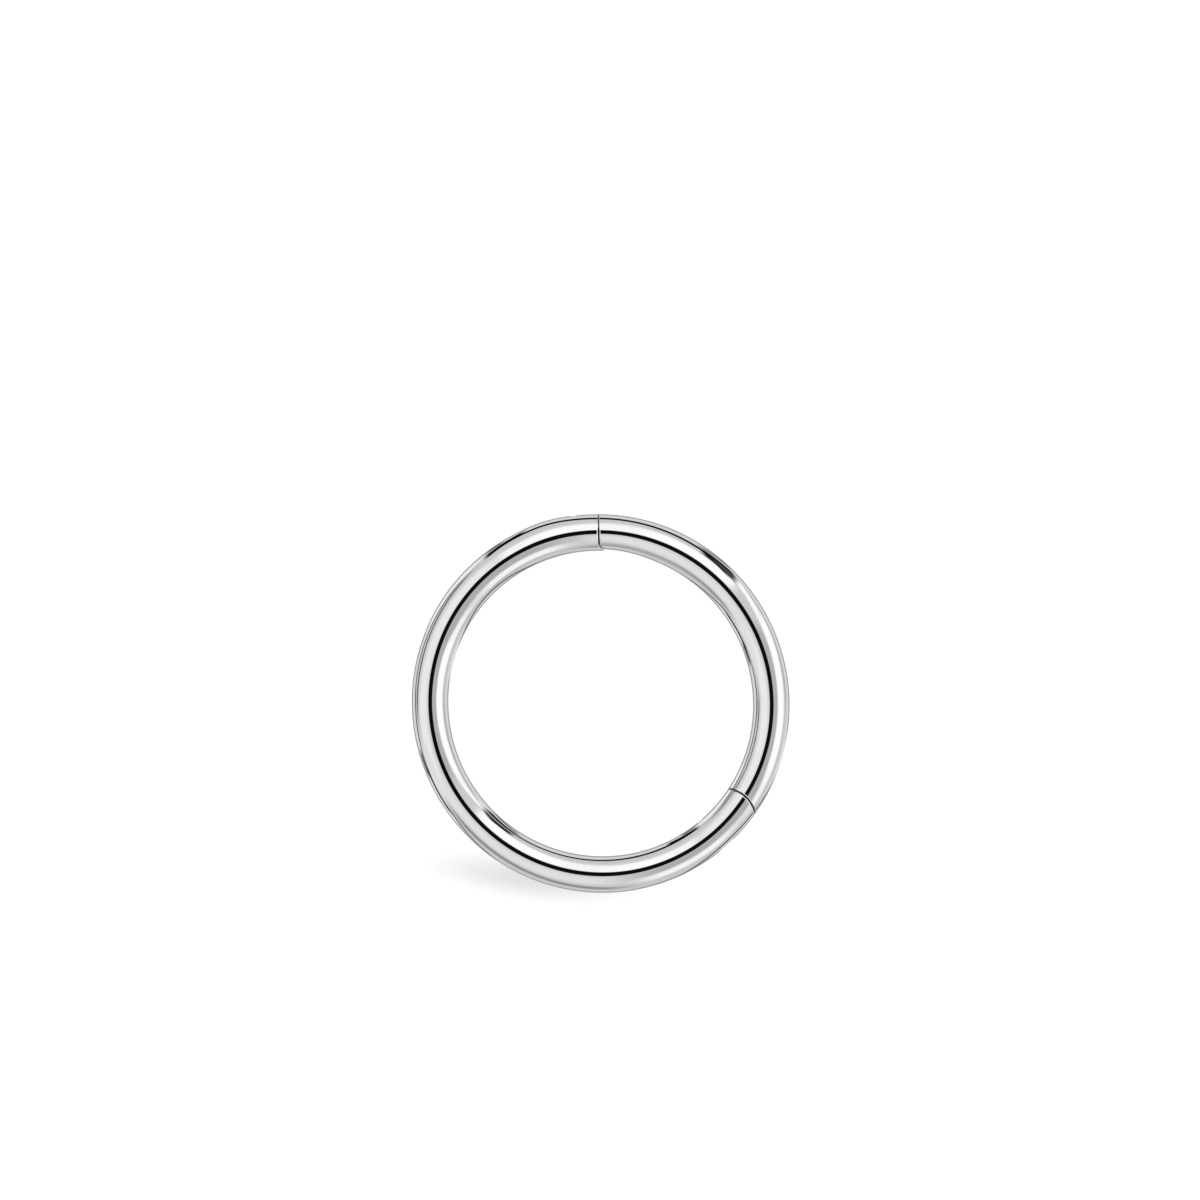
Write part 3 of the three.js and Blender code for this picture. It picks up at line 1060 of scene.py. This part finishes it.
@dataclass(frozen=True)
class Studio:
    """The pale table, the plain backdrop, and the tent of panels round the hoop that its polish mirrors."""

    open_level: float = 0.62  # the tent's brightness where no panel is
    low_level: float = 0.6  # and the same lower down
    low_start: tuple[float, float] = (60.0, 80.0)  # degrees from overhead, where the one becomes the other
    backdrop: float = 1.04  # what the camera sees past the table
    fill: float = 0.5  # the light on what isn't polished
    table_reach: float = 600 * MM
    table_roughness: float = 0.9
    table_tone: float = 0.8
    table_glow: float = 0.7
    # a shadow painted into the table's colour and glow at the hoop's lower left; no lamp casts it
    shade_middle: tuple[float, float] = (-2.6 * MM, -5.75 * MM)
    shade_size: tuple[float, float] = (3.0 * MM, 0.62 * MM)
    shade_turn: float = math.radians(-9)
    shade_depth: float = 0.28
    panels: tuple[Panel, ...] = (
        # the upper tent
        Panel("right_upper", 2, 96, 12, 44, 0.46, 22, 6),
        Panel("lower_right_upper", 312, 60, 12, 46, 0.43, 12, 8),
        Panel("right_column", 34, 16, 10, 70, 0.62, 4, 6),
        Panel("left_wall", 168, 86, 16, 66, 0.86, 8, 16, 0.3),
        Panel("low_left_wall", 205, 22, 52, 98, 0.77, 5, 8),
        Panel("lower_wall", 240, 66, 20, 66, 0.78, 8, 15),
        Panel("lower_box", 300, 34, 50, 82, 0.96, 8, 9),
        Panel("lower_right_box", 336, 26, 52, 84, 0.93, 8, 6, -0.2),
        Panel("right_box", 3, 54, 42, 86, 1.03, 5, 6, 0.25, 9),
        Panel("right_tail", 35, 14, 66, 98, 1.0, 3, 8, 1.6),
        Panel("top_box", 83, 84, 13, 61, 0.97, 2.5, 12, -0.2),
        Panel("top_box_near", 58, 32, 18, 60, 1.05, 5, 10),
        Panel("top_box_far", 103, 22, 16, 50, 1.03, 5, 10),
        # the lower tent
        Panel("hairline", 75, 250, 114, 136, 0.72, 10, 5),
        Panel("top_floor", 78, 76, 106, 128, 0.68, 6, 6),
        Panel("left_lobe", 144, 28, 110, 134, 0.92, 4, 5, 0.5),
        Panel("low_left_lobe", 211, 20, 116, 138, 0.85, 4, 5),
        Panel("outline", 0, 400, 139, 190, 0.36, 5, 4),
        Panel("low_right_lobe", 343, 12, 128, 190, 0.8, 4, 6),
        # the table's edges and the gaps of the tent
        Panel("right_second_line", 18, 36, 98, 108, 0.42, 5, 4),
        Panel("right_gap", 48.5, 13, 70, 109, 0.06, 2, 4),
        Panel("right_gap_foot", 50, 13, 98, 113, 0.003, 2, 2.5, -1.0),
        Panel("right_gap_head", 50, 10, 70, 82, 0.01, 2, 3, 1.4),
        Panel("table_line", 89, 76, 91.5, 108.5, 0.003, 2.5, 2, 0.12),
        Panel("right_streak", 51, 12, 122, 136, 0.09, 2, 4, -2.0),
        Panel("left_gap", 122, 13, 94, 122, 0.004, 1.5, 3, -1.2),
        Panel("left_gap_foot", 125, 6, 122, 150, 0.16, 1.5, 6),
        Panel("left_line", 160, 50, 82, 92, 0.1, 5, 2),
        Panel("left_second_line", 163, 46, 104, 113, 0.12, 5, 2, 0.1, -8),
        Panel("low_left_line", 187, 18, 99, 108, 0.12, 4, 2),
        Panel("low_left_streak", 200, 8, 102, 132, 0.12, 2, 5),
        Panel("low_gap", 209, 16, 104, 119, 0.005, 2, 2.5, 0.2),
        Panel("low_streak", 226, 20, 120, 132, 0.1, 3, 3, 2.2),
        Panel("low_line", 246, 60, 80, 102, 0.27, 8, 8, 0.25),
        Panel("low_edge_line", 293, 22, 132, 144, 0.3, 6, 4),
        Panel("low_right_line", 314, 40, 103, 116, 0.06, 4, 3, 0.0, 38),
    )
    lens_angle: float = 12.8
    lens_blur: float = 1.5
    lens_level: float = 0.004
    lens_lean: tuple[float, float] = (0.031, 0.044)  # the dark lens above isn't quite overhead

    def build(self) -> None:
        """Builds the whole studio."""
        self._world()
        self._table()
        bpy.context.scene.view_settings.view_transform = "Standard"
        LOG.info("studio: %d panels", len(self.panels))

    @staticmethod
    def _panel_group() -> bpy.types.NodeTree:
        """The shader group that lays one panel over what is behind it.

        Returns:
            The group.
        """
        w = Wiring(bpy.data.node_groups.new("studio_panel", "ShaderNodeTree"))
        inputs = [w.given(name) for name in Panel.inputs]
        behind, compass, polar, middle, half, top, bottom, level, side_blur, edge_blur, slant, bow = inputs
        away = w.math("WRAP", compass - middle, 180.0, -180.0)
        aside = w.math("ABSOLUTE", away)
        share = away / half
        down = polar - away * slant - share * share * bow
        within = 1.0 - aside.eased(half - side_blur, half + side_blur)
        below_top = down.eased(top - edge_blur, top + edge_blur)
        above_bottom = 1.0 - down.eased(bottom - edge_blur, bottom + edge_blur)
        w.gives(Level=w.blend(behind, level, within * below_top * above_bottom))
        return w.tree

    def _world(self) -> None:
        """The world: a plain backdrop to the eye, an even fill on the table, and the tent in the polish."""
        world = bpy.data.worlds.new("studio_tent")
        bpy.context.scene.world = world
        world.use_nodes = True
        world.node_tree.nodes.clear()
        w = Wiring(world.node_tree)
        x, y, z = w.parts(w.node("ShaderNodeTexCoord").outputs["Generated"])
        compass = w.math("DEGREES", w.math("ARCTAN2", y, x))
        polar = w.math("DEGREES", w.math("ARCCOSINE", z.clamped(-1.0, 1.0)))
        level = w.blend(self.open_level, self.low_level, polar.eased(*self.low_start))
        group = self._panel_group()
        for panel in self.panels:
            values = dict(zip(Panel.inputs, (level, compass, polar, *panel.values())))
            laid = w.node("ShaderNodeGroup", values, node_tree=group)
            level = Number(w, laid.outputs["Level"])
        aside, ahead = x - self.lens_lean[0], y - self.lens_lean[1]
        off_lens = w.math("DEGREES", w.math("ARCTAN2", (aside * aside + ahead * ahead).root(), z))
        lens = off_lens.eased(self.lens_angle - self.lens_blur, self.lens_angle + self.lens_blur)
        level = w.blend(self.lens_level, level, lens)
        path = w.node("ShaderNodeLightPath").outputs
        fill, tent, backdrop = (
            w.node("ShaderNodeBackground", {"Color": WHITE, "Strength": strength}).outputs[0]
            for strength in (self.fill, level, self.backdrop)
        )
        lit = w.node("ShaderNodeMixShader", {0: path["Is Glossy Ray"], 1: fill, 2: tent})
        seen = w.node("ShaderNodeMixShader", {0: path["Is Camera Ray"], 1: lit.outputs[0], 2: backdrop})
        w.node("ShaderNodeOutputWorld", {"Surface": seen.outputs[0]})
        world.cycles.sampling_method = "NONE"

    def _table(self) -> None:
        """The pale table, with a faint soft shadow painted into its colour and glow at the hoop's lower
        left.
        """
        mesh = bpy.data.meshes.new("table")
        ways = ((-1, -1), (1, -1), (1, 1), (-1, 1))
        corners = [(self.table_reach * x, self.table_reach * y, 0) for x, y in ways]
        mesh.from_pydata(corners, [], [(0, 1, 2, 3)])
        table = bpy.data.objects.new("table", mesh)
        bpy.context.scene.collection.objects.link(table)
        table.visible_glossy = False
        material, w = empty_material("pale_table")
        x, y, _ = w.parts(w.node("ShaderNodeTexCoord").outputs["Object"])
        aside, ahead = x - self.shade_middle[0], y - self.shade_middle[1]
        turn = (math.cos(self.shade_turn), math.sin(self.shade_turn))
        along = (aside * turn[0] + ahead * turn[1]) / self.shade_size[0]
        across = (ahead * turn[0] - aside * turn[1]) / self.shade_size[1]
        # the painted shadow: a soft oval that darkens the table's colour and glow
        shade = w.math("EXPONENT", (along * along + across * across) * -1.0)
        lit = 1.0 - shade * self.shade_depth
        tone, glow = lit * self.table_tone, lit * self.table_glow
        shader = w.node(
            "ShaderNodeBsdfPrincipled",
            {
                "Base Color": w.vector(tone, tone, tone),
                "Roughness": self.table_roughness,
                "Specular IOR Level": 0.0,
                "Emission Color": w.vector(glow, glow, glow),
                "Emission Strength": 1.0,
            },
        )
        w.node("ShaderNodeOutputMaterial", {"Surface": shader.outputs["BSDF"]})
        mesh.materials.append(material)
        table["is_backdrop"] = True


@dataclass(frozen=True)
class Camera:
    """The camera, with a long lens, straight above and square to the hoop."""

    sensor: float = 36.0
    lens: float = 320.0
    view_width: float = 39.29 * MM  # what it sees across, at the height of the wire's middle
    aim: tuple[float, float] = (-0.0229 * MM, 3.389 * MM)  # from the middle of the hoop
    clip: tuple[float, float] = (10 * MM, 2000 * MM)

    def build(self) -> None:
        """Puts the camera over the hoop."""
        low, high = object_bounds()
        middle = (low + high) / 2
        data = bpy.data.cameras.new("camera")
        data.sensor_width, data.lens = self.sensor, self.lens
        data.clip_start, data.clip_end = self.clip
        camera = bpy.data.objects.new("camera", data)
        bpy.context.scene.collection.objects.link(camera)
        height = middle.z + self.lens / self.sensor * self.view_width
        camera.location = (middle.x + self.aim[0], middle.y + self.aim[1], height)
        bpy.context.scene.camera = camera


def main() -> None:
    """Builds the hoop, then the studio round it."""
    logging.basicConfig(level=logging.INFO, format="%(name)s: %(message)s")
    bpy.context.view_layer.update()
    kit = Wire(), Clasp(), Hinge(), Shapes(), Finishes().build()
    FixedArc(*kit).build()
    SwingingSegment(*kit).build()
    FlushPin(*kit).build()
    Studio().build()
    Camera().build()


if __name__ == "__main__":
    main()
